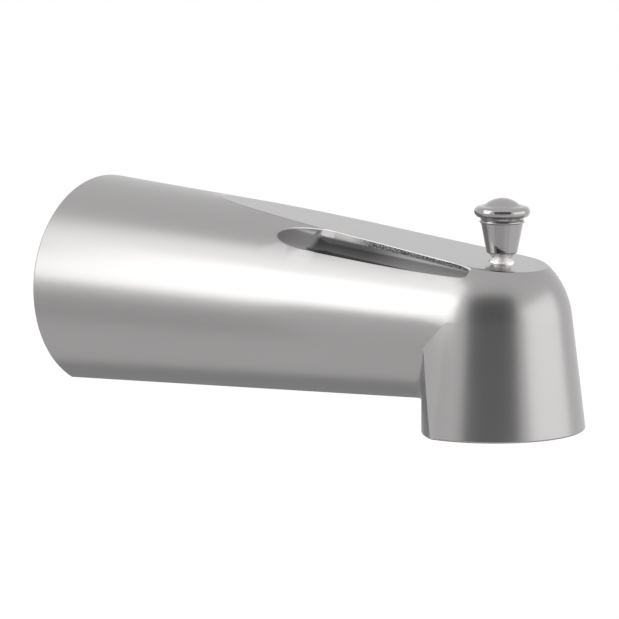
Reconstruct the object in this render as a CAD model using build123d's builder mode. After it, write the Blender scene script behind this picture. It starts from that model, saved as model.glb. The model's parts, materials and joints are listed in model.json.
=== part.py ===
from build123d import *
import os
from math import acos, atan, atan2, cos, hypot, radians, sin, tan

# A wall-mounted bath spout with a lift-up shower diverter. Lengths are in millimetres and angles
# in degrees. The origin is the centre of the wall end, in the plane of the wall. X runs from the
# wall to the nose, Z is up, and the spout is the same on both sides of the XZ plane.

# Shell, a hollow casting
WALL_END_RADIUS = 33.0  # barrel radius at the wall
NOSE_RADIUS = 23.4  # barrel radius at the outlet's axis
OUTLET_X = 148.5  # from the wall to the outlet's axis
OUTLET_RADIUS = 27.4  # front of the outlet's rim
OUTLET_DROP = 30.0  # outlet plane below the barrel's axis
SKIRT_BACK_RADIUS = 31.6  # arc that forms the back of the outlet skirt
SKIRT_BACK_BEHIND = 16.6  # middle of that arc, behind the outlet's axis
UNDERSIDE_WALL_DROP = 28.7  # flat underside below the axis, at the wall
UNDERSIDE_NOSE_DROP = 21.2  # flat underside below the axis, at the outlet's axis
SHELL_WALL = 2.6
SKIRT_FILLET = 3.0  # hollow round between the skirt's back and the barrel
SKIRT_FILLET_SHARE = 0.85  # most of the skirt's back that the hollow round may take
RIM_ROUND = 0.4  # outlet rim
WALL_RIM_ROUND = 0.5  # rim at the wall
FACET_HEIGHT = 17.85  # top facet above the axis, at the knob
FACET_ANGLE = 6.6  # fall of the facet towards the nose
FACET_ROUND = 1.0

# Grooves in the shoulders, one on each side of the facet. Angles are from the vertical, about the
# barrel's axis.
GROOVE_RADIUS = 6.5
GROOVE_END_AHEAD = 4.0  # nose end of the groove, ahead of the outlet's axis
GROOVE_RUN = 52.0  # length of the straight part along the barrel
GROOVE_WALL_ANGLE = 35.6  # at the end towards the wall
GROOVE_NOSE_ANGLE = 44.8
GROOVE_WALL_DEPTH = 2.7
GROOVE_NOSE_DEPTH = 0.4
GROOVE_BEND_SPARE = 0.4  # by which the groove's bend exceeds the radius of its back inside the shell
GROOVE_BEND_ANGLE = 70.0  # the groove bends out of the barrel at the wall end

# Shallow leaf in which each groove begins
LEAF_BEHIND = 3.5  # middle of the leaf, behind the straight part of the groove
LEAF_ANGLE = 35.5
LEAF_DEPTH = 1.5
LEAF_RADIUS = 11.0  # hollow across the leaf
LEAF_LENGTH_RADIUS = 75.0  # hollow along the leaf

# Bulkhead cast across the barrel
BULKHEAD_THICKNESS = 4.0

# Diverter knob and its stem
KNOB_AHEAD = 3.8  # knob axis ahead of the outlet's axis
KNOB_NECK_HEIGHT = 2.15
KNOB_NECK_FOOT_RADIUS = 2.1
KNOB_NECK_TOP_RADIUS = 3.8
KNOB_CONE_HEIGHT = 8.6
KNOB_CONE_FOOT_RADIUS = 4.4
KNOB_CONE_TOP_RADIUS = 5.95
KNOB_FOOT_ROUND = 0.5
KNOB_RIM_RADIUS = 7.9
KNOB_RIM_ROUND = 1.6  # round of the rim's section
KNOB_RIM_LIFT = 3.25  # rim centre above the top of the cone
KNOB_BEAD_ROUND = 0.45
KNOB_DOME_RADIUS = 7.2
KNOB_DOME_EDGE = 4.6  # the dome gives way to a hollow at this radius
KNOB_DOME_LIFT = 3.9  # top of the dome above the rim's centre
KNOB_HOLLOW_RADIUS = 3.0  # hollow between the dome and the rim
STEM_RADIUS = 1.6
STEM_GRIP = 8.0  # length of stem held in the knob
STEM_TAIL = 2.4  # stem below the gate
STEM_SHOULDER_RADIUS = 3.3
STEM_SHOULDER_HEIGHT = 1.5
DIVERTER_LIFT = 16.0  # travel of the knob, stem and gate
STOP_GAP = 0.2  # left between the stem's shoulder and the guide bush at the top

# Guide bush in the roof of the nose
COLLAR_RADIUS = 3.6
COLLAR_TOP_RADIUS = 3.2
COLLAR_HEIGHT = 0.5  # above the facet, at the knob's axis
BUSH_FLANGE_RADIUS = 6.2
STEM_SEAL_SECTION = 1.6
STEM_SEAL_LIFT = 1.0  # bottom of the seal's groove above the foot of the bush

# Diverter gate and the seat that it closes
STEM_TO_SEAT = 8.0  # seat face behind the stem's axis
GATE_REST_DROP = 16.0  # gate centre below the port's centre when the knob is down
GATE_HALF_WIDTH = 11.5
GATE_HALF_HEIGHT = 9.2
GATE_THICKNESS = 2.0
GATE_BOSS_RADIUS = 4.2
GATE_WEB = 5.0
GATE_CORNER = 1.5
WASHER_RADIUS = 8.8
WASHER_THICKNESS = 2.2
WASHER_STUD_RADIUS = 2.2
WASHER_STUD_SHY = 0.5  # the stud stops short of the washer's face
CLIP_RADIUS = 4.3
CLIP_THICKNESS = 0.8
CLIP_GROOVE = 0.5  # depth in the stem
PORT_RADIUS = 7.0
SEAT_PLATE_THICKNESS = 3.2
RAIL_WALL = 1.8
RAIL_LIP = 1.6
RAIL_LIP_THICKNESS = 1.2
RAIL_OVERRUN = 1.8  # rails above the gate when it is up
SLEEVE_LENGTH = 13.0
SLEEVE_WALL = 2.3

# Water tube inside the barrel
TUBE_RADIUS = 11.5
TUBE_BORE_RADIUS = 7.8
SPIGOT_RADIUS = 11.2
SHOULDER_RADIUS = 14.2
SHOULDER_LENGTH = 3.0
TUBE_SEAL_SECTION = 2.0
TUBE_SEAL_AHEAD = 3.0  # middle of the seal ahead of the bulkhead
SEAT_CLIP_THICKNESS = 1.2
SEAT_CLIP_AHEAD = 7.4  # back face of the clip ahead of the bulkhead
SEAT_CLIP_LEG = 2.6
SEAT_CLIP_BRIDGE = 2.4
SEAT_CLIP_BITE = 1.6  # depth of the clip's groove in the spigot

# Inlet at the wall end
INLET_RECESS = 0.5  # mouth of the inlet, in from the wall plane
INLET_THREAD_RADIUS = 9.9  # half-inch pipe thread, at its pitch line
INLET_CHAMFER = 0.4
BUSH_ACROSS_FLATS = 25.4
BUSH_LENGTH = 20.0
INLET_SEAL_RADIUS = 12.0
INLET_SEAL_BORE_RADIUS = 9.0
INLET_SEAL_THICKNESS = 2.0
HEAD_RADIUS = 17.2
HEAD_LENGTH = 25.5
HEAD_TAPER = 6.0
SPIDER_SETBACK = 4.0  # spider in from the mouth of the inlet
SPIDER_THICKNESS = 4.0
SPIDER_RING_WALL = 2.2
SPIDER_RIB = 2.6

# Clearances
RUNNING_CLEARANCE = 0.05  # stem in its bush and gate
SEATED_CLEARANCE = 0.1  # pieces pushed together by hand
GATE_CLEARANCE = 0.4  # gate and washer to the seat and rails
SPIDER_CLEARANCE = 0.3
CUT_PAST = 1.0  # how far cutting solids run past the face they cut

# Places worked out from the sizes above
knob_x = OUTLET_X + KNOB_AHEAD
collar_top = FACET_HEIGHT + COLLAR_HEIGHT
knob_base = collar_top + KNOB_NECK_HEIGHT
cone_top = knob_base + KNOB_CONE_HEIGHT
rim_z = cone_top + KNOB_RIM_LIFT
knob_top = rim_z + KNOB_DOME_LIFT
gate_bottom = -GATE_REST_DROP - GATE_HALF_HEIGHT
gate_top = -GATE_REST_DROP + GATE_HALF_HEIGHT
shoulder_top = gate_top + STEM_SHOULDER_HEIGHT
bush_bottom = shoulder_top + DIVERTER_LIFT + STOP_GAP
seat_x = knob_x - STEM_TO_SEAT
plate_back = seat_x - SEAT_PLATE_THICKNESS
bulkhead_front = plate_back - SLEEVE_LENGTH
bulkhead_back = bulkhead_front - BULKHEAD_THICKNESS
washer_back = seat_x + GATE_CLEARANCE
gate_back = washer_back + WASHER_THICKNESS
gate_front = gate_back + GATE_THICKNESS
rail_inside = GATE_HALF_WIDTH + GATE_CLEARANCE
rail_outside = rail_inside + RAIL_WALL
rail_top = gate_top + DIVERTER_LIFT + RAIL_OVERRUN
lip_back = gate_front + GATE_CLEARANCE
clip_back = bulkhead_front + SEAT_CLIP_AHEAD
clip_inside = SPIGOT_RADIUS - SEAT_CLIP_BITE
clip_outside = clip_inside + SEAT_CLIP_LEG
sleeve_bore = SPIGOT_RADIUS + SEATED_CLEARANCE
sleeve_radius = sleeve_bore + SLEEVE_WALL
washer_seat_x = INLET_RECESS + BUSH_LENGTH
spider_x = INLET_RECESS + SPIDER_SETBACK
mirror_plane = Plane.XZ
knob_axis = Axis((knob_x, 0, 0), (0, 0, 1))
outlet_axis = Axis((OUTLET_X, 0, 0), (0, 0, 1))
far_size = 2 * (OUTLET_X + OUTLET_RADIUS + WALL_END_RADIUS)
groove_nose_x = OUTLET_X + GROOVE_END_AHEAD
groove_wall_x = groove_nose_x - GROOVE_RUN
leaf_x = groove_wall_x - LEAF_BEHIND

# Barrel: a cone along X, closed at the nose by a ball that the cone touches. The skirt flares
# down from the same ball to the outlet.
barrel_fall = (WALL_END_RADIUS - NOSE_RADIUS) / OUTLET_X
barrel_angle = atan(barrel_fall)
ball_radius = NOSE_RADIUS * cos(barrel_angle)
skirt_flare = acos(ball_radius / hypot(OUTLET_RADIUS, OUTLET_DROP)) - atan2(OUTLET_DROP, OUTLET_RADIUS)
skirt_back_x = OUTLET_X - SKIRT_BACK_BEHIND
skirt_centre_x = skirt_back_x + SKIRT_BACK_RADIUS


def barrel_radius(x):
    """Outer radius of the barrel's cone at x."""
    return WALL_END_RADIUS - barrel_fall * x


def underside(x, inset):
    """Height of the flat underside at x, raised by inset."""
    return -UNDERSIDE_WALL_DROP + (UNDERSIDE_WALL_DROP - UNDERSIDE_NOSE_DROP) * x / OUTLET_X + inset


def facet(x, inset):
    """Height of the top facet at x, lowered by inset across the wall."""
    slope = radians(FACET_ANGLE)
    return FACET_HEIGHT + tan(slope) * (knob_x - x) - inset / cos(slope)


def above_facet(inset):
    """Everything above the plane of the top facet."""
    with BuildPart() as above:
        with BuildSketch(Plane.XZ):
            with BuildLine():
                Polyline(
                    (-far_size, facet(-far_size, inset)),
                    (far_size, facet(far_size, inset)),
                    (far_size, far_size),
                    (-far_size, far_size),
                    close=True,
                )
            make_face()
        extrude(amount=far_size, both=True)
    return above.part


def cone_end(inset):
    """X and radius where the barrel's cone meets the ball, both shrunk by inset."""
    ball = ball_radius - inset
    return OUTLET_X + ball * sin(barrel_angle), ball * cos(barrel_angle)


def barrel_form(inset, past):
    """The barrel's cone with its flat underside, shrunk by inset and run past the wall plane."""
    end_x, end_r = cone_end(inset)
    wall_r = end_r + barrel_fall * (end_x + past)
    with BuildPart() as barrel:
        with BuildSketch(Plane.XZ):
            with BuildLine():
                Polyline((end_x, 0), (-past, 0), (-past, wall_r), (end_x, end_r), close=True)
            make_face()
        revolve(axis=Axis.X)
        with BuildSketch(Plane.XZ):
            with BuildLine():
                Polyline(
                    (-far_size, underside(-far_size, inset)),
                    (far_size, underside(far_size, inset)),
                    (far_size, -far_size),
                    (-far_size, -far_size),
                    close=True,
                )
            make_face()
        extrude(amount=far_size, both=True, mode=Mode.SUBTRACT)
    return barrel.part


def crown_form(inset, past):
    """The cone and the ball together, cut off above by the facet."""
    ball = ball_radius - inset
    end_x, end_r = cone_end(inset)
    wall_r = end_r + barrel_fall * (end_x + past)
    with BuildPart() as crown:
        with BuildSketch(Plane.XZ):
            with BuildLine():
                Polyline((OUTLET_X + ball, 0), (-past, 0), (-past, wall_r), (end_x, end_r))
                RadiusArc((end_x, end_r), (OUTLET_X + ball, 0), ball)
            make_face()
        revolve(axis=Axis.X)
        add(above_facet(inset), mode=Mode.SUBTRACT)
    return crown.part


def skirt_form(inset, past, rim_round):
    """The flaring turn below the ball, cut off behind by an arc, with its rim rounded."""
    ball = ball_radius - inset
    top = ball * sin(skirt_flare)
    top_r = ball * cos(skirt_flare)
    bottom = -OUTLET_DROP - past
    bottom_r = top_r + tan(skirt_flare) * (top - bottom)
    back_r = SKIRT_BACK_RADIUS - inset
    with BuildPart() as skirt:
        with BuildSketch(Plane.XZ) as flare_profile:
            with BuildLine():
                Polyline(
                    (OUTLET_X, top),
                    (OUTLET_X, bottom),
                    (OUTLET_X + bottom_r, bottom),
                    (OUTLET_X + top_r, top),
                    close=True,
                )
            make_face()
            if rim_round:
                fillet(flare_profile.vertices().group_by(Axis.Y)[0].sort_by(Axis.X)[-1], rim_round)
        revolve(axis=outlet_axis)
        with BuildSketch(Plane.XZ) as back_profile:
            with Locations((skirt_centre_x, bottom)):
                Rectangle(back_r, top - bottom, align=(Align.MIN, Align.MIN))
            if rim_round:
                fillet(back_profile.vertices().group_by(Axis.Y)[0].sort_by(Axis.X)[-1], rim_round)
        revolve(axis=Axis((skirt_centre_x, 0, 0), (0, 0, 1)), mode=Mode.INTERSECT)
    return skirt.part


def spout_form(inset, past, rim_round):
    """The whole outer form, joined at the level where the skirt leaves the ball."""
    level = Plane.XY.offset((ball_radius - inset) * sin(skirt_flare))
    with BuildPart() as crown:
        add(crown_form(inset, past))
        split(bisect_by=level, keep=Keep.TOP)
    with BuildPart() as form:
        add(barrel_form(inset, past))
        split(bisect_by=level, keep=Keep.BOTTOM)
        add(skirt_form(inset, past, rim_round))
        add(crown.part)
    return form.part


def outward(angle):
    """Direction out of the near shoulder, at an angle from the vertical about the barrel's axis."""
    return Vector(0, -sin(radians(angle)), cos(radians(angle)))


def groove_cutter(radius):
    """A rod along the near shoulder's groove: straight beside the facet, then bent out of the barrel."""
    nose_lift = barrel_radius(groove_nose_x) + GROOVE_RADIUS - GROOVE_NOSE_DEPTH
    wall_lift = barrel_radius(groove_wall_x) + GROOVE_RADIUS - GROOVE_WALL_DEPTH
    nose_point = Vector(groove_nose_x, 0, 0) + outward(GROOVE_NOSE_ANGLE) * nose_lift
    wall_point = Vector(groove_wall_x, 0, 0) + outward(GROOVE_WALL_ANGLE) * wall_lift
    along = nose_point - wall_point
    plane = Plane(origin=wall_point, x_dir=along, z_dir=along.cross(outward(GROOVE_WALL_ANGLE)))
    with BuildPart() as cutter:
        with BuildLine(plane):
            run = Line((along.length, 0), (0, 0))
            JernArc(run @ 1, run % 1, GROOVE_RADIUS + SHELL_WALL + GROOVE_BEND_SPARE, -GROOVE_BEND_ANGLE)
        with BuildSketch(Plane(origin=run @ 0, z_dir=run % 0)):
            Circle(radius)
        sweep()
    return cutter.part


def leaf_cutter(radius):
    """A ring that stands over the near shoulder and dips into it, which leaves the shallow leaf."""
    up = outward(LEAF_ANGLE)
    generator = Vector(1, 0, 0) * cos(barrel_angle) - up * sin(barrel_angle)
    surface = Vector(leaf_x, 0, 0) + up * barrel_radius(leaf_x)
    plane = Plane(origin=surface, x_dir=up.cross(Vector(1, 0, 0)), z_dir=generator)
    middle = plane.from_local_coords((0, LEAF_LENGTH_RADIUS - LEAF_DEPTH))
    with BuildPart() as cutter:
        with BuildSketch(plane):
            with Locations((0, LEAF_RADIUS - LEAF_DEPTH)):
                Circle(radius)
        revolve(axis=Axis(middle, plane.x_dir))
    return cutter.part


# Shell
skirt_back_height = OUTLET_DROP - RIM_ROUND + underside(skirt_back_x, 0)
near_cuts = (groove_cutter(GROOVE_RADIUS), leaf_cutter(LEAF_RADIUS))
near_backs = (groove_cutter(GROOVE_RADIUS + SHELL_WALL), leaf_cutter(LEAF_RADIUS + SHELL_WALL))

with BuildPart() as shell_hollow:
    add(spout_form(SHELL_WALL, CUT_PAST, 0))
    for back in near_backs:
        add(back, mode=Mode.SUBTRACT)
        add(back.mirror(mirror_plane), mode=Mode.SUBTRACT)
    with BuildSketch(Plane.YZ.offset(bulkhead_back)):
        Rectangle(far_size, far_size)
    extrude(amount=BULKHEAD_THICKNESS, mode=Mode.SUBTRACT)

with BuildPart() as spout_shell:
    add(spout_form(0, 0, RIM_ROUND))
    skirt_back = spout_shell.faces().filter_by(GeomType.CYLINDER)[0]
    fillet(
        skirt_back.edges().filter_by(lambda e: e.bounding_box().min.Z > 2 * RIM_ROUND - OUTLET_DROP),
        min(SKIRT_FILLET, SKIRT_FILLET_SHARE * skirt_back_height),
    )
    facet_face = spout_shell.faces().filter_by(GeomType.PLANE).sort_by(Axis.Z)[-1]
    fillet(facet_face.edges().filter_by(lambda e: e.bounding_box().max.X > WALL_RIM_ROUND), FACET_ROUND)
    fillet(spout_shell.faces().sort_by(Axis.X)[0].edges(), WALL_RIM_ROUND)
    for cut in near_cuts:
        add(cut, mode=Mode.SUBTRACT)
        add(cut.mirror(mirror_plane), mode=Mode.SUBTRACT)
    add(shell_hollow.part, mode=Mode.SUBTRACT)
    with BuildSketch(Plane.YZ.offset(bulkhead_back - CUT_PAST)):
        Circle(SPIGOT_RADIUS + SEATED_CLEARANCE)
    extrude(amount=BULKHEAD_THICKNESS + 2 * CUT_PAST, mode=Mode.SUBTRACT)
    with BuildSketch(Plane.XY.offset(bush_bottom)):
        with Locations((knob_x, 0)):
            Circle(COLLAR_RADIUS + RUNNING_CLEARANCE)
    extrude(amount=far_size, mode=Mode.SUBTRACT)
spout_shell.part.label = "spout_shell"

# Water tube: a moulding with a head for the inlet bush, a centring spider and a front spigot
spider_ring = barrel_form(SHELL_WALL + SPIDER_CLEARANCE, 0)
spider_inside = barrel_form(SHELL_WALL + SPIDER_CLEARANCE + SPIDER_RING_WALL, 0)

with BuildPart() as spider_windows:
    add(spider_inside)
    with BuildSketch(Plane.YZ.offset(spider_x)):
        Rectangle(SPIDER_RIB, far_size)
        Rectangle(far_size, SPIDER_RIB)
    extrude(amount=SPIDER_THICKNESS, mode=Mode.SUBTRACT)

with BuildPart() as waterway_tube:
    with BuildSketch(Plane.YZ.offset(spider_x)):
        Rectangle(far_size, far_size)
    extrude(amount=SPIDER_THICKNESS)
    add(spider_ring, mode=Mode.INTERSECT)
    add(spider_windows.part, mode=Mode.SUBTRACT)
    head_front = INLET_RECESS + HEAD_LENGTH
    shoulder_back = bulkhead_back - SHOULDER_LENGTH
    spigot_front = plate_back - SEATED_CLEARANCE
    with BuildSketch(Plane.XZ):
        with BuildLine():
            Polyline(
                (INLET_RECESS, 0),
                (INLET_RECESS, HEAD_RADIUS),
                (head_front, HEAD_RADIUS),
                (head_front + HEAD_TAPER, TUBE_RADIUS),
                (shoulder_back, TUBE_RADIUS),
                (shoulder_back, SHOULDER_RADIUS),
                (bulkhead_back, SHOULDER_RADIUS),
                (bulkhead_back, SPIGOT_RADIUS),
                (spigot_front, SPIGOT_RADIUS),
                (spigot_front, 0),
                close=True,
            )
        make_face()
    revolve(axis=Axis.X)
    with BuildSketch(Plane.YZ.offset(INLET_RECESS - CUT_PAST)):
        Circle(TUBE_BORE_RADIUS)
    extrude(amount=far_size, mode=Mode.SUBTRACT)
    with BuildSketch(Plane.YZ.offset(INLET_RECESS - CUT_PAST)):
        Circle(INLET_SEAL_RADIUS + SEATED_CLEARANCE)
    extrude(amount=CUT_PAST + BUSH_LENGTH + INLET_SEAL_THICKNESS, mode=Mode.SUBTRACT)
    with BuildSketch(Plane.YZ.offset(INLET_RECESS - CUT_PAST)):
        RegularPolygon(BUSH_ACROSS_FLATS / 2 + RUNNING_CLEARANCE, 6, major_radius=False)
    extrude(amount=CUT_PAST + BUSH_LENGTH, mode=Mode.SUBTRACT)
    seal_back = bulkhead_front + TUBE_SEAL_AHEAD - TUBE_SEAL_SECTION / 2 - SEATED_CLEARANCE
    with BuildSketch(Plane.YZ.offset(seal_back)):
        Circle(SPIGOT_RADIUS + CUT_PAST)
        Circle(sleeve_bore - TUBE_SEAL_SECTION, mode=Mode.SUBTRACT)
    extrude(amount=TUBE_SEAL_SECTION + 2 * SEATED_CLEARANCE, mode=Mode.SUBTRACT)
    with BuildSketch(Plane.YZ.offset(clip_back - SEATED_CLEARANCE)):
        Circle(SPIGOT_RADIUS + CUT_PAST)
        Circle(clip_inside - SEATED_CLEARANCE, mode=Mode.SUBTRACT)
    extrude(amount=SEAT_CLIP_THICKNESS + 2 * SEATED_CLEARANCE, mode=Mode.SUBTRACT)
waterway_tube.part.label = "waterway_tube"

with BuildPart() as tube_seal:
    with BuildSketch(Plane.XZ):
        with Locations((bulkhead_front + TUBE_SEAL_AHEAD, sleeve_bore - TUBE_SEAL_SECTION / 2)):
            Circle(TUBE_SEAL_SECTION / 2)
    revolve(axis=Axis.X)
tube_seal.part.label = "tube_seal"

# Seat frame: a sleeve on the spigot, the seat plate with its port, and rails for the gate
with BuildPart() as seat_frame:
    with BuildSketch(Plane.YZ.offset(bulkhead_front)):
        Circle(sleeve_radius)
    extrude(amount=SLEEVE_LENGTH)
    with BuildSketch(Plane.YZ.offset(plate_back)):
        with Locations((0, (rail_top + gate_bottom) / 2)):
            Rectangle(2 * rail_outside, rail_top - gate_bottom)
    extrude(amount=SEAT_PLATE_THICKNESS)
    with BuildSketch(Plane.XY.offset(gate_bottom)):
        with BuildLine():
            Polyline(
                (seat_x, rail_inside),
                (lip_back, rail_inside),
                (lip_back, rail_inside - RAIL_LIP),
                (lip_back + RAIL_LIP_THICKNESS, rail_inside - RAIL_LIP),
                (lip_back + RAIL_LIP_THICKNESS, rail_outside),
                (seat_x, rail_outside),
                close=True,
            )
        make_face()
        mirror(about=Plane.XZ)
    extrude(amount=rail_top - gate_bottom)
    with BuildSketch(Plane.YZ.offset(bulkhead_front)):
        Circle(sleeve_bore)
    extrude(amount=SLEEVE_LENGTH, mode=Mode.SUBTRACT)
    with BuildSketch(Plane.YZ.offset(plate_back)):
        Circle(PORT_RADIUS)
    extrude(amount=SEAT_PLATE_THICKNESS, mode=Mode.SUBTRACT)
    slot_inside = clip_inside - SEATED_CLEARANCE
    slot_outside = clip_outside + SEATED_CLEARANCE
    slot_wall = slot_outside - slot_inside
    with BuildSketch(Plane.YZ.offset(clip_back - SEATED_CLEARANCE)):
        with Locations((slot_inside + slot_wall / 2, 0), (-slot_inside - slot_wall / 2, 0)):
            Rectangle(slot_wall, 2 * sleeve_radius)
    extrude(amount=SEAT_CLIP_THICKNESS + 2 * SEATED_CLEARANCE, mode=Mode.SUBTRACT)
seat_frame.part.label = "seat_frame"

# Spring clip that locks the seat frame on the spigot
with BuildPart() as seat_clip:
    clip_bottom = -sleeve_radius - SEATED_CLEARANCE - SEAT_CLIP_BRIDGE
    with BuildSketch(Plane.YZ.offset(clip_back)):
        with Locations((0, (sleeve_bore + clip_bottom) / 2)):
            Rectangle(2 * clip_outside, sleeve_bore - clip_bottom)
        with Locations((0, (sleeve_bore + clip_bottom + SEAT_CLIP_BRIDGE) / 2)):
            Rectangle(2 * clip_inside, sleeve_bore - clip_bottom - SEAT_CLIP_BRIDGE, mode=Mode.SUBTRACT)
    extrude(amount=SEAT_CLIP_THICKNESS)
seat_clip.part.label = "seat_clip"

# Inlet bush with its flat seal
with BuildPart() as inlet_bush:
    with BuildSketch(Plane.YZ.offset(INLET_RECESS)):
        RegularPolygon(BUSH_ACROSS_FLATS / 2, 6, major_radius=False)
        Circle(INLET_THREAD_RADIUS, mode=Mode.SUBTRACT)
    extrude(amount=BUSH_LENGTH)
    chamfer(
        inlet_bush.faces().sort_by(Axis.X)[0].edges().filter_by(GeomType.CIRCLE),
        INLET_CHAMFER,
    )
inlet_bush.part.label = "inlet_bush"

with BuildPart() as inlet_seal:
    with BuildSketch(Plane.YZ.offset(washer_seat_x)):
        Circle(INLET_SEAL_RADIUS)
        Circle(INLET_SEAL_BORE_RADIUS, mode=Mode.SUBTRACT)
    extrude(amount=INLET_SEAL_THICKNESS)
inlet_seal.part.label = "inlet_seal"

# Guide bush: a flange under the roof, and a collar that shows on the facet
with BuildPart() as guide_bush:
    with BuildSketch(Plane.XY.offset(bush_bottom)):
        with Locations((knob_x, 0)):
            Circle(BUSH_FLANGE_RADIUS)
    extrude(amount=FACET_HEIGHT - bush_bottom)
    add(above_facet(SHELL_WALL), mode=Mode.SUBTRACT)
    with BuildSketch(Plane.XZ):
        with BuildLine():
            Polyline(
                (knob_x, bush_bottom),
                (knob_x + COLLAR_RADIUS, bush_bottom),
                (knob_x + COLLAR_RADIUS, FACET_HEIGHT),
                (knob_x + COLLAR_TOP_RADIUS, collar_top),
                (knob_x, collar_top),
                close=True,
            )
        make_face()
    revolve(axis=knob_axis)
    with BuildSketch(Plane.XY.offset(bush_bottom)):
        with Locations((knob_x, 0)):
            Circle(STEM_RADIUS + RUNNING_CLEARANCE)
    extrude(amount=far_size, mode=Mode.SUBTRACT)
    seal_groove = STEM_RADIUS + RUNNING_CLEARANCE + STEM_SEAL_SECTION + RUNNING_CLEARANCE
    with BuildSketch(Plane.XY.offset(bush_bottom + STEM_SEAL_LIFT)):
        with Locations((knob_x, 0)):
            Circle(seal_groove)
    extrude(amount=STEM_SEAL_SECTION + 2 * RUNNING_CLEARANCE, mode=Mode.SUBTRACT)
guide_bush.part.label = "guide_bush"

with BuildPart() as stem_seal:
    seal_middle = STEM_RADIUS + RUNNING_CLEARANCE + STEM_SEAL_SECTION / 2
    seal_z = bush_bottom + STEM_SEAL_LIFT + RUNNING_CLEARANCE + STEM_SEAL_SECTION / 2
    with BuildSketch(Plane.XZ):
        with Locations((knob_x + seal_middle, seal_z)):
            Circle(STEM_SEAL_SECTION / 2)
    revolve(axis=knob_axis)
stem_seal.part.label = "stem_seal"

# Diverter knob: neck, cone, bead, rolled rim and dome, turned in one piece
with BuildPart() as diverter_knob:
    rim_centre = KNOB_RIM_RADIUS - KNOB_RIM_ROUND
    dome_centre = knob_top - KNOB_DOME_RADIUS
    dome_edge_z = dome_centre + (KNOB_DOME_RADIUS**2 - KNOB_DOME_EDGE**2) ** 0.5
    with BuildSketch(Plane.XZ):
        with BuildLine():
            Polyline(
                (knob_x, knob_top),
                (knob_x, collar_top),
                (knob_x + KNOB_NECK_FOOT_RADIUS, collar_top),
                (knob_x + KNOB_NECK_TOP_RADIUS, knob_base),
                (knob_x + KNOB_CONE_FOOT_RADIUS - KNOB_FOOT_ROUND, knob_base),
            )
            RadiusArc(
                (knob_x + KNOB_CONE_FOOT_RADIUS - KNOB_FOOT_ROUND, knob_base),
                (knob_x + KNOB_CONE_FOOT_RADIUS, knob_base + KNOB_FOOT_ROUND),
                -KNOB_FOOT_ROUND,
            )
            Line(
                (knob_x + KNOB_CONE_FOOT_RADIUS, knob_base + KNOB_FOOT_ROUND),
                (knob_x + KNOB_CONE_TOP_RADIUS, cone_top),
            )
            bead_top = cone_top + 2 * KNOB_BEAD_ROUND
            ThreePointArc(
                (knob_x + KNOB_CONE_TOP_RADIUS, cone_top),
                (knob_x + KNOB_CONE_TOP_RADIUS + KNOB_BEAD_ROUND, cone_top + KNOB_BEAD_ROUND),
                (knob_x + KNOB_CONE_TOP_RADIUS, bead_top),
            )
            Line((knob_x + KNOB_CONE_TOP_RADIUS, bead_top), (knob_x + rim_centre, rim_z - KNOB_RIM_ROUND))
            ThreePointArc(
                (knob_x + rim_centre, rim_z - KNOB_RIM_ROUND),
                (knob_x + KNOB_RIM_RADIUS, rim_z),
                (knob_x + rim_centre, rim_z + KNOB_RIM_ROUND),
            )
            RadiusArc(
                (knob_x + rim_centre, rim_z + KNOB_RIM_ROUND),
                (knob_x + KNOB_DOME_EDGE, dome_edge_z),
                KNOB_HOLLOW_RADIUS,
            )
            RadiusArc((knob_x + KNOB_DOME_EDGE, dome_edge_z), (knob_x, knob_top), -KNOB_DOME_RADIUS)
        make_face()
    revolve(axis=knob_axis)
    with BuildSketch(Plane.XY.offset(collar_top)):
        with Locations((knob_x, 0)):
            Circle(STEM_RADIUS)
    extrude(amount=STEM_GRIP, mode=Mode.SUBTRACT)
diverter_knob.part.label = "diverter_knob"

# Stem: held in the knob, with a shoulder above the gate and a groove for its clip below
with BuildPart() as diverter_stem:
    stem_foot = gate_bottom - STEM_TAIL
    with BuildSketch(Plane.XY.offset(stem_foot)):
        with Locations((knob_x, 0)):
            Circle(STEM_RADIUS)
    extrude(amount=collar_top + STEM_GRIP - stem_foot)
    with BuildSketch(Plane.XY.offset(gate_top)):
        with Locations((knob_x, 0)):
            Circle(STEM_SHOULDER_RADIUS)
    extrude(amount=STEM_SHOULDER_HEIGHT)
    with BuildSketch(Plane.XY.offset(gate_bottom - CLIP_THICKNESS - SEATED_CLEARANCE)):
        with Locations((knob_x, 0)):
            Circle(STEM_RADIUS + CUT_PAST)
            Circle(STEM_RADIUS - CLIP_GROOVE, mode=Mode.SUBTRACT)
    extrude(amount=CLIP_THICKNESS + SEATED_CLEARANCE, mode=Mode.SUBTRACT)
diverter_stem.part.label = "diverter_stem"

# Gate: a plate that runs in the rails, a boss on the stem, and a stud for its washer
with BuildPart() as diverter_gate:
    with BuildSketch(Plane.YZ.offset(gate_back)):
        with Locations((0, -GATE_REST_DROP)):
            RectangleRounded(2 * GATE_HALF_WIDTH, 2 * GATE_HALF_HEIGHT, GATE_CORNER)
    extrude(amount=GATE_THICKNESS)
    with BuildSketch(Plane.XY.offset(gate_bottom)):
        with Locations(((gate_front + knob_x) / 2, 0)):
            Rectangle(knob_x - gate_front, GATE_WEB)
        with Locations((knob_x, 0)):
            Circle(GATE_BOSS_RADIUS)
            Circle(STEM_RADIUS + RUNNING_CLEARANCE, mode=Mode.SUBTRACT)
    extrude(amount=2 * GATE_HALF_HEIGHT)
    with BuildSketch(Plane.YZ.offset(washer_back + WASHER_STUD_SHY)):
        with Locations((0, -GATE_REST_DROP)):
            Circle(WASHER_STUD_RADIUS)
    extrude(amount=WASHER_THICKNESS - WASHER_STUD_SHY)
diverter_gate.part.label = "diverter_gate"

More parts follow.
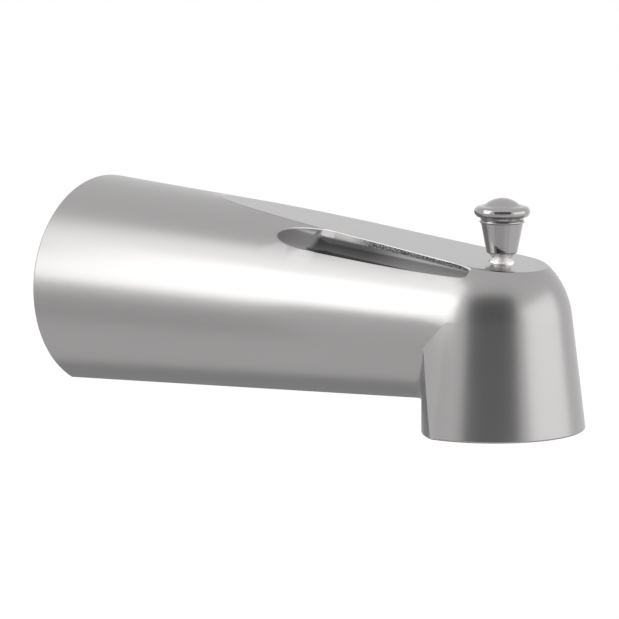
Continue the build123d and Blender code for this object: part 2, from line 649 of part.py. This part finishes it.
with BuildPart() as gate_washer:
    with BuildSketch(Plane.YZ.offset(washer_back)):
        with Locations((0, -GATE_REST_DROP)):
            Circle(WASHER_RADIUS)
            Circle(WASHER_STUD_RADIUS + RUNNING_CLEARANCE, mode=Mode.SUBTRACT)
    extrude(amount=WASHER_THICKNESS)
gate_washer.part.label = "gate_washer"

# Clip under the gate: a ring with a mouth, pushed onto the stem from the front
with BuildPart() as gate_clip:
    with BuildSketch(Plane.XY.offset(gate_bottom - SEATED_CLEARANCE - CLIP_THICKNESS)):
        with Locations((knob_x, 0)):
            Circle(CLIP_RADIUS)
            Circle(STEM_RADIUS - CLIP_GROOVE, mode=Mode.SUBTRACT)
        with Locations((knob_x - CLIP_RADIUS / 2, 0)):
            Rectangle(CLIP_RADIUS, 2 * (STEM_RADIUS - CLIP_GROOVE), mode=Mode.SUBTRACT)
    extrude(amount=CLIP_THICKNESS)
gate_clip.part.label = "gate_clip"

os.makedirs("parts", exist_ok=True)
for piece in (
    spout_shell,
    waterway_tube,
    tube_seal,
    seat_frame,
    seat_clip,
    inlet_bush,
    inlet_seal,
    guide_bush,
    stem_seal,
    diverter_knob,
    diverter_stem,
    diverter_gate,
    gate_washer,
    gate_clip,
):
    export_step(piece.part, f"parts/{piece.part.label}.step")
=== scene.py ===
# %% [markdown]
# A bath spout in Blender
#
# This lesson dresses a bath spout: a tapered satin metal barrel with a faceted top, two grooves in
# its shoulders, an outlet that turns down, and a polished knob that is lifted to send the water up
# to a shower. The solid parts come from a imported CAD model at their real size. Here they get their
# finishes, a screw thread, a stage, lamps and a camera.

# %% Load the solid parts
import json
import math

import bpy
import numpy as np
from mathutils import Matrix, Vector


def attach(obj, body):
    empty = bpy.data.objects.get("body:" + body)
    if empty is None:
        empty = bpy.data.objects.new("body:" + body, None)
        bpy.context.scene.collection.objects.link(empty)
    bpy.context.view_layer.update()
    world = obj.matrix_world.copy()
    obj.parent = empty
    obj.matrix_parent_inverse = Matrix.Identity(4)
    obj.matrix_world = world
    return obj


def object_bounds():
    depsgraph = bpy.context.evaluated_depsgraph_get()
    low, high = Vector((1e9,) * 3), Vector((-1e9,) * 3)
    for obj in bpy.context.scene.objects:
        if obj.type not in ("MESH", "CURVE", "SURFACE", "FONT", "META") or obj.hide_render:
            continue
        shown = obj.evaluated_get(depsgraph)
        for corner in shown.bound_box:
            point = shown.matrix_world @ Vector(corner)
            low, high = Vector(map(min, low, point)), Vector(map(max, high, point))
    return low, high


MM = 1000.0  # millimetres to the metre

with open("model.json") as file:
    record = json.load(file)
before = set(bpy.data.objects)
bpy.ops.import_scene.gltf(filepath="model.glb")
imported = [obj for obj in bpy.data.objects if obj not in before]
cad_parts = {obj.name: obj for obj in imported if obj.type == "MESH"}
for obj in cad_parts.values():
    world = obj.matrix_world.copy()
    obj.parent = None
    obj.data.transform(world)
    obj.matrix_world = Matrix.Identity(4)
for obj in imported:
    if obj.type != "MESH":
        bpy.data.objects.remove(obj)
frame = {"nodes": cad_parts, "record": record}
nodes = frame["nodes"]
cad_box = [list(corner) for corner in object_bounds()]
spout_low, spout_high = (np.array(corner) for corner in cad_box)
print("solid parts:", len(nodes), "box in mm:", np.round((spout_high - spout_low) * MM, 1))

# %% [markdown]
# The camera
#
# The spout is seen from its side and a little from above, nose to the right. The camera stands about
# a metre away with a long lens, so the far wall end looks only about a tenth smaller than it would
# beside the nose. It could be placed by eye, but it was fitted to the round wall end, the outlet's rim
# and the knob, because the ovals that round edges make settle where a camera stands. Its place and the
# point it aims at are written in metres in the spout's own frame: X from the wall to the nose, Z up.

# %% Camera
IMAGE_PIXELS = 619  # width and height of the picture
FOCAL_PIXELS = 3375.0  # focal length, counted in pixels of the picture
SENSOR_WIDTH = 36.0  # mm
camera_place = Vector((0.7077, -0.7738, 0.1404))
camera_aim = Vector((0.0853, -0.0040, -0.0013))

camera_data = bpy.data.cameras.new("camera")
camera_data.sensor_width = SENSOR_WIDTH
camera_data.lens = SENSOR_WIDTH * FOCAL_PIXELS / IMAGE_PIXELS
camera = bpy.data.objects.new("camera", camera_data)
camera.location = camera_place
camera.rotation_euler = (camera_aim - camera_place).to_track_quat("-Z", "Y").to_euler()
bpy.context.scene.collection.objects.link(camera)
bpy.context.scene.camera = camera
camera_distance = (camera_aim - camera_place).length
print("camera at", round(camera_distance, 3), "m, lens", round(camera_data.lens, 1), "mm")

# %% [markdown]
# Shader sums written as sums
#
# A finish that changes over a surface is a small network of nodes. Drawn by hand, even "distance
# from the axis" takes five of them. The class below wraps one socket, so the same thing is written
# as an ordinary Python expression, and each operator adds its Math node.


# %% A socket that can be used in sums
class Wire:
    """One output socket. Sums with numbers or other wires add Math nodes to its tree."""

    def __init__(self, tree, socket=None):
        self.tree = tree
        self.socket = socket

    def node(self, kind, settings=None, sockets=None, output=0):
        """Adds a node, sets its settings first, then fills its sockets with values or wires."""
        made = self.tree.nodes.new(kind)
        for name, value in (settings or {}).items():
            setattr(made, name, value)
        for name, value in (sockets or {}).items():
            if isinstance(value, Wire):
                self.tree.links.new(value.socket, made.inputs[name])
            else:
                made.inputs[name].default_value = value
        return Wire(self.tree, made.outputs[output] if made.outputs else None)

    def math(self, operation, a, b=0.0):
        return self.node("ShaderNodeMath", {"operation": operation}, {0: a, 1: b})

    def __add__(self, other):
        return self.math("ADD", self, other)

    __radd__ = __add__

    def __sub__(self, other):
        return self.math("SUBTRACT", self, other)

    def __rsub__(self, other):
        return self.math("SUBTRACT", other, self)

    def __mul__(self, other):
        return self.math("MULTIPLY", self, other)

    __rmul__ = __mul__

    def __pow__(self, other):
        return self.math("POWER", self, other)

    def __abs__(self):
        return self.math("ABSOLUTE", self)

    def least(self, other):
        return self.math("MINIMUM", self, other)

    def most(self, other):
        return self.math("MAXIMUM", self, other)

    def step(self, low, high):
        """0 below low, 1 above high, and smooth between them."""
        return self.node(
            "ShaderNodeMapRange",
            {"interpolation_type": "SMOOTHSTEP"},
            {"Value": self, "From Min": low, "From Max": high},
        )

    def between(self, low, high):
        """A number that is low where this wire is 0 and high where it is 1."""
        return low + self * (high - low)

    def mix(self, a, b):
        """A colour that is a where this wire is 0 and b where it is 1."""
        sockets = {"Factor": self, "A": a, "B": b}
        return self.node("ShaderNodeMix", {"data_type": "RGBA"}, sockets, output=2)


def length(*parts):
    """Length of a vector given by its parts."""
    return sum(part * part for part in parts) ** 0.5


print("shader sums are ready")

# %% [markdown]
# Stage
#
# The spout is shown against white. A backdrop could be lit until it is white, but so much light would
# bleach the metal. Instead the floor and the world are plain white to the eye and to mirrors alike,
# whatever the lamps do. Part of the floor's white still comes from the light that falls on it, and so
# it can keep a soft shadow under the spout.


# %% Tools for the stage
def new_tree(name):
    """A new material, and its empty node tree."""
    material = bpy.data.materials.new(name)
    material.use_nodes = True
    material.node_tree.nodes.clear()
    return material, material.node_tree


def seen_directly(tree):
    """1 for rays from the camera, a mirror or a lens, and 0 for rays that only light a surface."""
    path = tree.nodes.new("ShaderNodeLightPath")
    kinds = ("Is Camera Ray", "Is Glossy Ray", "Is Transmission Ray")
    camera_ray, mirror_ray, lens_ray = (Wire(tree, path.outputs[kind]) for kind in kinds)
    return camera_ray.most(mirror_ray).most(lens_ray)


def flat_sheet(name, corners, material):
    """A sheet with four corners that belongs to the stage."""
    mesh = bpy.data.meshes.new(name)
    mesh.from_pydata(corners, [], [(0, 1, 2, 3)])
    mesh.materials.append(material)
    sheet = bpy.data.objects.new(name, mesh)
    bpy.context.scene.collection.objects.link(sheet)
    return sheet


def level_corners(low, high, z):
    """Corners of a level rectangle at height z, from its least to its greatest x and y."""
    return [(low[0], low[1], z), (high[0], low[1], z), (high[0], high[1], z), (low[0], high[1], z)]


print("tools for the stage are ready")

# %% Floor
FLOOR_DROP = 0.11  # below the outlet
FLOOR_SIZE = 12.0
FLOOR_WHITE = 0.97
FLOOR_GLOW = 0.8  # share of the floor's white that doesn't depend on light
FLOOR_GLOW_STRENGTH = 1.04  # makes up for the little that the lit share falls short of white

floor_z = float(spout_low[2]) - FLOOR_DROP
half = FLOOR_SIZE / 2
floor_paint, tree = new_tree("floor_paint")
seen = seen_directly(tree)
lit = seen.node("ShaderNodeBsdfDiffuse", sockets={"Color": (FLOOR_WHITE, FLOOR_WHITE, FLOOR_WHITE, 1)})
glow = seen.node("ShaderNodeEmission", sockets={"Color": (1, 1, 1, 1), "Strength": FLOOR_GLOW_STRENGTH})
both = seen.node("ShaderNodeMixShader", sockets={0: seen * FLOOR_GLOW, 1: lit, 2: glow})
both.node("ShaderNodeOutputMaterial", sockets={"Surface": both})
flat_sheet("floor", level_corners((-half, -half), (half, half), floor_z), floor_paint)
print("floor at z =", round(floor_z, 3), "m")

# %% World
WORLD_FILL = 0.85  # strength of the light from all round, where 1 is the white that is seen

world = bpy.data.worlds.new("studio")
bpy.context.scene.world = world
world.use_nodes = True
tree = world.node_tree
background = tree.nodes["Background"]
seen = seen_directly(tree)
tree.links.new(seen.between(WORLD_FILL, 1).socket, background.inputs["Strength"])
background.inputs["Color"].default_value = (1, 1, 1, 1)
print("world nodes:", len(tree.nodes))

# %% [markdown]
# Lamps and cards
#
# Metal has no colour of its own to light: it shows what stands round it. So the lamps are large soft
# boxes, which lie along the barrel as long pale bands, and grey sheets take the place of white where
# the metal is to look dark. A tall card behind the camera darkens the middle of the nose and of the
# skirt. Boards on the floor shade the lower half of the barrel. A low card behind the spout gives the
# back of the skirt its dark edge. A pale flag beside the barrel hides the side lamp from the skirt and
# ends the barrel's bright band in a clean line. Only reflections meet these sheets: they neither shade
# the floor nor show in the picture.

# %% Tools for lamps and cards
SPOUT_MIDDLE = Vector((0.09, 0.0, 0.0))
BOARD_LIFT = 0.001  # of a board above the floor


def toward(azimuth, elevation):
    """Direction from the spout: azimuth from the near side (-Y) towards the nose (+X), in degrees."""
    a, e = math.radians(azimuth), math.radians(elevation)
    return Vector((math.sin(a) * math.cos(e), -math.cos(a) * math.cos(e), math.sin(e)))


def softbox(name, azimuth, elevation, distance, width, height, radiance):
    """An area lamp that faces the spout, with its power in proportion to its size and radiance."""
    lamp = bpy.data.lights.new(name, "AREA")
    lamp.shape = "RECTANGLE"
    lamp.size = width
    lamp.size_y = height
    lamp.energy = radiance * math.pi * width * height
    stand = bpy.data.objects.new(name, lamp)
    direction = toward(azimuth, elevation)
    stand.location = SPOUT_MIDDLE + direction * distance
    stand.rotation_euler = direction.to_track_quat("Z", "Y").to_euler()
    bpy.context.scene.collection.objects.link(stand)


def reflector(name, corners, level):
    """A sheet of even brightness that only reflections meet. A level of 1 is the white of the stage."""
    paint, tree = new_tree(name + "_paint")
    sockets = {"Color": (level, level, level, 1), "Strength": 1.0}
    even = Wire(tree).node("ShaderNodeEmission", sockets=sockets)
    even.node("ShaderNodeOutputMaterial", sockets={"Surface": even})
    sheet = flat_sheet(name, corners, paint)
    sheet.visible_camera = False
    sheet.visible_diffuse = False
    sheet.visible_shadow = False


def card(name, azimuth, elevation, distance, width, height, level):
    """A reflector that stands square to the spout."""
    direction = toward(azimuth, elevation)
    across = Vector((direction.y, -direction.x, 0)).normalized() * (width / 2)
    upward = across.cross(direction).normalized() * (height / 2)
    middle = SPOUT_MIDDLE + direction * distance
    foot = [middle - across - upward, middle + across - upward]
    head = [middle + across + upward, middle - across + upward]
    reflector(name, foot + head, level)


def board(name, low, high, level):
    """A reflector that lies on the floor."""
    reflector(name, level_corners(low, high, floor_z + BOARD_LIFT), level)


def flag(name, low, high, y, level):
    """An upright reflector along the barrel, from its least to its greatest x and z."""
    corners = [(low[0], y, low[1]), (high[0], y, low[1]), (high[0], y, high[1]), (low[0], y, high[1])]
    reflector(name, corners, level)


print("tools for lamps and cards are ready")

# %% Place the lamps and cards
softbox("side_softbox", azimuth=-29, elevation=19.5, distance=0.7, width=0.37, height=0.40, radiance=2.6)
softbox("upper_softbox", azimuth=-36, elevation=44, distance=0.7, width=0.47, height=0.29, radiance=1.4)
softbox("nose_softbox", azimuth=116, elevation=8, distance=1.2, width=1.4, height=0.8, radiance=0.95)
card("dark_card", azimuth=39, elevation=12, distance=1.6, width=2.16, height=2.24, level=0.17)
board("front_board", low=(-1.4, -0.9), high=(0.8, -0.2), level=0.72)
board("near_board", low=(-1.0, -0.2), high=(0.6, -0.02), level=0.88)
board("under_board", low=(-0.5, -0.02), high=(0.3, 0.25), level=0.45)
card("back_card", azimuth=-122, elevation=-13, distance=0.6, width=0.9, height=0.33, level=0.13)
flag("skirt_flag", low=(0.06, -0.1), high=(0.135, 0.011), y=-0.08, level=0.87)
print("lamps:", len(bpy.data.lights))

# %% [markdown]
# Tools for the finishes
#
# Each finish is written as sums on the place of a point, in millimetres in the spout's own frame.
# Noise that is stretched along one direction stands for the marks that a tool leaves: a brush, a
# lathe or a drawing die. It moves the colour and the roughness a little. On bright metal its bump is
# less than a micrometre high, because a deeper one would break up the reflections.

# %% Tools for the finishes
METAL_TINT = (1.0, 0.98, 0.977)  # red, green and blue of the metal's grey, a little warm
NOISE_DETAIL = 3.0


def paint(name):
    """A new material, and the place of a point on the piece in millimetres."""
    material, tree = new_tree(name)
    metres = Wire(tree).node("ShaderNodeTexCoord", output="Object")
    place = metres.node("ShaderNodeVectorMath", {"operation": "SCALE"}, {0: metres, "Scale": MM})
    return material, place


def axes_of(place):
    """The x, y and z of a place."""
    return [place.node("ShaderNodeSeparateXYZ", sockets={0: place}, output=axis) for axis in "XYZ"]


def noise(place, stretch):
    """Cloud noise about 0.5, with so many features to the millimetre along each axis."""
    scaled = place.node("ShaderNodeVectorMath", {"operation": "MULTIPLY"}, {0: place, 1: stretch})
    return place.node("ShaderNodeTexNoise", sockets={"Vector": scaled, "Scale": 1.0, "Detail": NOISE_DETAIL})


def grey(value):
    """A metal's grey."""
    return (*(value * part for part in METAL_TINT), 1)


def coat(place, base, roughness, metallic, height, relief):
    """Joins a Principled shader to the material. A height of 1 in the bump stands for relief millimetres."""
    normal = place.node("ShaderNodeBump", sockets={"Distance": relief / MM, "Height": height})
    sockets = {"Base Color": base, "Roughness": roughness, "Metallic": metallic, "Normal": normal}
    surface = place.node("ShaderNodeBsdfPrincipled", sockets=sockets)
    surface.node("ShaderNodeOutputMaterial", sockets={"Surface": surface})


print("tools for the finishes are ready")

# %% [markdown]
# Where a point lies in the shell's wall
#
# The shell is one casting with four looks: satin outside, a smooth flat on top, glossy grooves painted
# dark as painted shade of the recess, and a dull inside as it left the mould. Its faces could be sorted
# into four materials, but then each look would end in the zigzag of the mesh's triangles. So one shader
# tells them apart by the depth of a point below the plain outer form. The form is a cone with a flat
# below, joined to a ball and a flared skirt, all cut off by the facet. For each of these the depth is
# a short formula. Where two solids are joined the deeper one counts, and where one is cut by another
# the shallower.

# %% Depth below the outer form
WALL_END_RADIUS = 33.0  # of the cone, at the wall
NOSE_RADIUS = 23.4  # of the cone, at the outlet's axis
OUTLET_X = 148.5
OUTLET_RADIUS = 27.4
OUTLET_DROP = 30.0
CONE_REACH = 150.0  # the cone ends where it touches the ball
SKIRT_BACK_X = 163.5  # middle of the arc that forms the back of the skirt
SKIRT_BACK_RADIUS = 31.6
UNDERSIDE_WALL_DROP = 28.7  # flat underside below the axis, at the wall
UNDERSIDE_NOSE_DROP = 21.2  # and at the outlet's axis
KNOB_X = 152.3
FACET_HEIGHT = 17.85  # above the axis, at the knob
FACET_ANGLE = 6.6  # fall of the facet towards the nose

cone_fall = (WALL_END_RADIUS - NOSE_RADIUS) / OUTLET_X
ball_radius = NOSE_RADIUS * math.cos(math.atan(cone_fall))
rim_angle = math.atan2(OUTLET_DROP, OUTLET_RADIUS)
skirt_flare = math.acos(ball_radius / math.hypot(OUTLET_RADIUS, OUTLET_DROP)) - rim_angle
skirt_top = ball_radius * math.sin(skirt_flare)  # height where the skirt leaves the ball
skirt_top_radius = ball_radius * math.cos(skirt_flare)
underside_rise = (UNDERSIDE_WALL_DROP - UNDERSIDE_NOSE_DROP) / OUTLET_X
facet_fall = math.tan(math.radians(FACET_ANGLE))


def shell_depth(x, y, z):
    """Depth in millimetres below the outer form, 0 on the skin and about 2.6 inside, and below the facet."""
    cone = (WALL_END_RADIUS - cone_fall * x) - length(y, z)
    above_underside = z + UNDERSIDE_WALL_DROP - underside_rise * x
    barrel = cone.least(above_underside).least(CONE_REACH - x)
    ahead = x - OUTLET_X
    ball = ball_radius - length(ahead, y, z)
    flare = skirt_top_radius + math.tan(skirt_flare) * (skirt_top - z) - length(ahead, y)
    back = SKIRT_BACK_RADIUS - length(x - SKIRT_BACK_X, y)
    skirt = flare.least(back).least(skirt_top - z)
    below_facet = FACET_HEIGHT + facet_fall * (KNOB_X - x) - z
    return barrel.most(ball).most(skirt).least(below_facet), below_facet


print("depth formula is ready, flare of the skirt:", round(math.degrees(skirt_flare), 1), "degrees")

# %% [markdown]
# Satin shell
#
# The casting is plated and then brushed, so its marks run round the barrel and the highlights are
# long and soft. The marks are too fine to be modelled one by one, and noise that is stretched round
# the barrel does the same to the light. The flat on top is finished on a flat wheel and comes out
# smoother, and its grey is painted a little darker as painted shade. The grooves are glossier, and
# their colour is painted shade of the recess. Each one begins in a shallow leaf, whose painted shade is
# darkest under the facet. Past the leaf it shows three strips, one below another: a grey one under the
# facet that turns to dark painted speckles, a dark band, and a lip. Band and lip turn paler towards the
# nose, where the groove runs out. Inside, the skin of the mould shows as a dull grain.

# %% Regions of the shell
GROOVE_WALL_END = Vector((100.5, 17.64, 24.64))  # axis of the rod that fits the groove
GROOVE_NOSE_END = Vector((152.5, 20.60, 20.75))
GROOVE_RADIUS = 6.5
GROOVE_LIP = 1.21  # the groove's lower lip, across to up
LEAF_START = 80.0
LEAF_END = 95.5  # where the leaf gives way to the groove
BLEND = 1.0  # the leaf begins over this length, and ends over twice as much
LIP_SHARE = -0.05  # share of the way from the facet to the lower lip, to the millimetre of drop, at x = 0
LIP_SHARE_GAIN = 0.0023  # and its gain to the millimetre along X
FACET_DEPTH = (0.05, 0.35)  # depths over which the facet ends
LIP_EDGE = (0.0, 0.3)  # distances inside the lower lip over which the groove begins
GROOVE_DEPTH = (0.12, 0.25)  # depths over which the satin skin gives way to the groove
BACK_DEPTH = (2.0, 2.3)  # depths over which the groove may give way to what lies behind its wall
BACK_RADIUS = (GROOVE_RADIUS + 0.1, GROOVE_RADIUS + 0.6)  # and distances from the rod's axis
INSIDE_DEPTH = (2.1, 2.45)  # depths over which the inside begins

satin, place = paint("satin_shell")
x, y, z = axes_of(place)
depth, below_facet = shell_depth(x, y, z)
groove_along = (GROOVE_NOSE_END - GROOVE_WALL_END).normalized()
offsets = [value - start for value, start in zip((x, abs(y), z), GROOVE_WALL_END)]
along = sum(offset * part for offset, part in zip(offsets, groove_along))
from_rod = (sum(offset * offset for offset in offsets) - along * along) ** 0.5
behind = depth.step(*BACK_DEPTH) * from_rod.step(*BACK_RADIUS)
on_shoulder = x.step(LEAF_START - BLEND, LEAF_START) * (GROOVE_LIP * z - abs(y)).step(*LIP_EDGE)
in_groove = depth.step(*GROOVE_DEPTH) * (1 - behind) * on_shoulder
in_leaf = 1 - x.step(LEAF_END - BLEND, LEAF_END + BLEND)
down_groove = below_facet * (LIP_SHARE + LIP_SHARE_GAIN * x)
on_facet = 1 - below_facet.step(*FACET_DEPTH)
inside = depth.step(*INSIDE_DEPTH) * (1 - in_groove)
brushed = (1 - in_groove) * (1 - inside)
print("nodes for the regions of the shell:", len(satin.node_tree.nodes))

# %% Painted shade in a groove
LEAF_SHADE = (0.1, 0.3)  # shares of the way down over which the leaf comes out of the facet's shade
STRIP_FOOT = (0.28, 0.42)  # over which the strip under the facet gives way to the band
BAND_FOOT = (0.55, 0.85)  # over which the band gives way to the lip
SPECKLES_BEGIN = (106.0, 116.0)  # x over which the strip gets its painted speckles
RUN_OUT = (112.0, 136.0)  # x over which the band and the lip turn paler
SPECKLE_EDGE = (0.42, 0.6)  # levels of the noise from the darkest painted speckle to the grey between them

# The greys below are painted shade of the recess: darkest under the facet and where the groove is deep, with
# dark painted speckles on the strip under the facet.
painted_speckles = noise(place, (2.2, 2.2, 2.2)).step(*SPECKLE_EDGE)
leaf = x.step(LEAF_START, LEAF_END).mix(grey(0.13), grey(0.2))
leaf = down_groove.step(*LEAF_SHADE).mix(grey(0.06), leaf)
strip = x.step(*SPECKLES_BEGIN).mix(grey(0.17), painted_speckles.mix(grey(0.02), grey(0.09)))
band = x.step(*RUN_OUT).mix(grey(0.04), grey(0.17))
lip = x.step(*RUN_OUT).mix(grey(0.06), grey(0.2))
flute = down_groove.step(*STRIP_FOOT).mix(strip, band)
flute = down_groove.step(*BAND_FOOT).mix(flute, lip)
groove = in_leaf.mix(flute, leaf)
print("nodes with the groove's tones:", len(satin.node_tree.nodes))

# %% Satin shell
SATIN_ROUGHNESS = 0.29
BRUSH_SPREAD = 0.05  # by which the brush marks move the roughness
FACET_SMOOTHER = 0.14
GROOVE_SMOOTHER = 0.13
CAST_RELIEF = 0.02
BRUSH_HEIGHT = 0.006  # height of the brush marks, as a share of the cast relief

hairlines = noise(place, (9.0, 0.3, 0.3))
grain = noise(place, (2.5, 2.5, 2.5))
# The facet's grey is painted shade: a little darker than the satin round it.
base = on_facet.mix(hairlines.mix(grey(0.35), grey(0.37)), grey(0.31))
# In the grooves, painted shade takes the place of the satin grey.
base = in_groove.mix(base, groove)
base = inside.mix(base, grain.mix(grey(0.2), grey(0.3)))
roughness = SATIN_ROUGHNESS + (hairlines - 0.5) * brushed * BRUSH_SPREAD
roughness = roughness - on_facet * FACET_SMOOTHER - in_groove * GROOVE_SMOOTHER
roughness = roughness + inside * grain.between(0.15, 0.4)
height = hairlines * brushed * BRUSH_HEIGHT + inside * grain
coat(place, base, roughness, metallic=1.0, height=height, relief=CAST_RELIEF)
print("satin shell nodes:", len(satin.node_tree.nodes))

# %% [markdown]
# Polished knob
#
# The knob is turned from bar and polished, so its faint marks are rings round its own axis. Noise
# that is read by a point's height and its distance from that axis, and not by its place, is the same
# all the way round, which gives such rings. The neck below the cone and the collar on the facet are
# painted near white, a painted reflection of the white stage, and are a little rougher.

# %% Polished knob
NECK_TOP = 20.45
NECK_EDGE = 0.1
NECK_ROUGHER = 0.35

polished, place = paint("polished_knob")
x, y, z = axes_of(place)
from_knob_axis = length(x - KNOB_X, y)
ring_place = place.node("ShaderNodeCombineXYZ", sockets={0: from_knob_axis, 1: z, 2: 0.0})
rings = noise(ring_place, (7.0, 7.0, 1.0))
neck = 1 - z.step(NECK_TOP, NECK_TOP + NECK_EDGE)
# The neck's near-white grey is a painted reflection of the white surroundings.
base = neck.mix(rings.mix(grey(0.34), grey(0.38)), grey(0.97))
roughness = rings.between(0.08, 0.16) + neck * NECK_ROUGHER
coat(place, base, roughness, metallic=1.0, height=rings, relief=0.0004)
print("polished knob nodes:", len(polished.node_tree.nodes))

# %% [markdown]
# Steel and brass inside
#
# The stem is drawn wire, with marks along its length, and its noise is stretched along Z. The clips
# are stamped from strip and hardly show, so they share the stem's finish. The inlet bush is turned
# from hexagon bar: its marks run round the bore, and brass goes a little brown in patches where it
# has been handled.

# %% Steel and brass
BRASS = (0.74, 0.53, 0.25, 1)
BROWNED_BRASS = (0.55, 0.36, 0.16, 1)
BROWN_EDGE = (0.42, 0.68)  # levels of the noise from clean brass to a brown patch
BROWN_ROUGHER = 0.1

steel, place = paint("drawn_steel")
drawn = noise(place, (8.0, 8.0, 0.25))
base = drawn.mix(grey(0.46), grey(0.56))
coat(place, base, drawn.between(0.2, 0.34), metallic=1.0, height=drawn, relief=0.0006)

brass, place = paint("turned_brass")
turned = noise(place, (6.0, 0.2, 0.2))
patches = noise(place, (0.22, 0.22, 0.22)).step(*BROWN_EDGE)
base = patches.mix(BRASS, BROWNED_BRASS)
roughness = turned.between(0.24, 0.36) + patches * BROWN_ROUGHER
coat(place, base, roughness, metallic=1.0, height=turned, relief=0.0008)
print("steel nodes:", len(steel.node_tree.nodes), "brass nodes:", len(brass.node_tree.nodes))

# %% [markdown]
# Mouldings and rubber
#
# The water tube, the seat frame and the gate are moulded acetal, which has a fine even grain from the
# mould and a slightly waxy sheen. The seals are black rubber, greyed in places by the powder that
# keeps them from sticking together in their bag. Nothing in these follows a direction, so plain noise
# at two scales is enough: a coarse one for the colour and a fine one for the grain.

# %% Mouldings and rubber
RUBBER_BLACK = (0.03, 0.03, 0.032, 1)
POWDERED_BLACK = (0.06, 0.06, 0.062, 1)
POWDER_EDGE = (0.45, 0.75)  # levels of the noise from clean rubber to powder


def moulding(name, shade, tint):
    """A moulded plastic that wanders between two near colours."""
    material, place = paint(name)
    cloud = noise(place, (0.15, 0.15, 0.15))
    fine = noise(place, (5.0, 5.0, 5.0))
    base = cloud.mix(shade, tint)
    coat(place, base, fine.between(0.38, 0.54), metallic=0.0, height=fine, relief=0.004)
    return material


white = moulding("white_acetal", shade=(0.77, 0.77, 0.73, 1), tint=(0.82, 0.82, 0.79, 1))
dim = moulding("grey_acetal", shade=(0.29, 0.3, 0.31, 1), tint=(0.34, 0.35, 0.36, 1))

rubber, place = paint("black_rubber")
powder = noise(place, (0.5, 0.5, 0.5)).step(*POWDER_EDGE)
fine = noise(place, (7.0, 7.0, 7.0))
base = powder.mix(RUBBER_BLACK, POWDERED_BLACK)
coat(place, base, fine.between(0.5, 0.7), metallic=0.0, height=fine, relief=0.006)
print("mouldings and rubber are ready")

# %% [markdown]
# The inlet's thread
#
# The bush screws onto a half-inch pipe. In the solid parts its bore is plain, at the thread's pitch
# line. A bump in the brass could stand for the thread, but it would look flat at the mouth of the
# bore. So the thread's inner half is added here as one ridge that winds along the bore: a low triangle
# with a flat crest, carried along a helix. The crest sinks into the bore over half a turn at both
# ends, where a tap runs out.

# %% Inlet thread
BORE_RADIUS = 9.9
THREAD_PITCH = 25.4 / 14  # 14 turns to the inch
THREAD_HEIGHT = 0.55
THREAD_FOOT = 0.72  # half of the ridge's width where it stands on the bore
THREAD_CREST = 0.12  # half of its width at the crest
THREAD_BITE = 0.05  # the ridge's foot is sunk into the bore
THREAD_FROM = 2.2
THREAD_TURNS = 9.0
STEPS_PER_TURN = 72

turn = np.linspace(0.0, 2 * math.pi * THREAD_TURNS, int(STEPS_PER_TURN * THREAD_TURNS) + 1)
run_in = np.clip(np.minimum(turn, turn[-1] - turn) / math.pi, 0.0, 1.0)
section_along = np.array([-THREAD_FOOT, -THREAD_CREST, THREAD_CREST, THREAD_FOOT])
section_rise = np.array([-THREAD_BITE, THREAD_HEIGHT, THREAD_HEIGHT, -THREAD_BITE])
rise = np.where(section_rise > 0, section_rise * run_in[:, None], section_rise)
along_x = THREAD_FROM + THREAD_PITCH * turn[:, None] / (2 * math.pi) + section_along
across = BORE_RADIUS - rise
ridge = np.stack([along_x, across * np.sin(turn)[:, None], across * np.cos(turn)[:, None]], axis=-1) / MM
corner = np.arange(rise.size).reshape(rise.shape)
following = np.roll(corner, -1, axis=1)
sides = np.stack([corner[:-1], following[:-1], following[1:], corner[1:]], axis=-1).reshape(-1, 4)
ends = np.stack([corner[0][::-1], corner[-1]])
mesh = bpy.data.meshes.new("inlet_thread")
mesh.from_pydata(ridge.reshape(-1, 3).tolist(), [], np.concatenate([sides, ends]).tolist())
mesh.materials.append(brass)
thread = bpy.data.objects.new("inlet_thread", mesh)
bpy.context.scene.collection.objects.link(thread)
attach(thread, "spout")
print("inlet thread faces:", len(mesh.polygons))

# %% [markdown]
# Finishes on the parts
#
# The record names a finish for each solid part, and each name now has its material. The parts could
# be listed here one by one, but taking them from the record keeps the two in step.

# %% Finishes on the parts
finishes = {
    "satin_metal": satin,
    "polished_metal": polished,
    "stainless_steel": steel,
    "brass": brass,
    "white_moulding": white,
    "grey_moulding": dim,
    "black_rubber": rubber,
}
for part in frame["record"]["subparts"]:
    nodes[part["node"]].data.materials[0] = finishes[part["material_slot"]]
print("finished parts:", len(nodes) + 1)

# %% [markdown]
# View settings
#
# The Standard view shows a colour about as it is written.

# %% View settings
bpy.context.scene.view_settings.view_transform = "Standard"
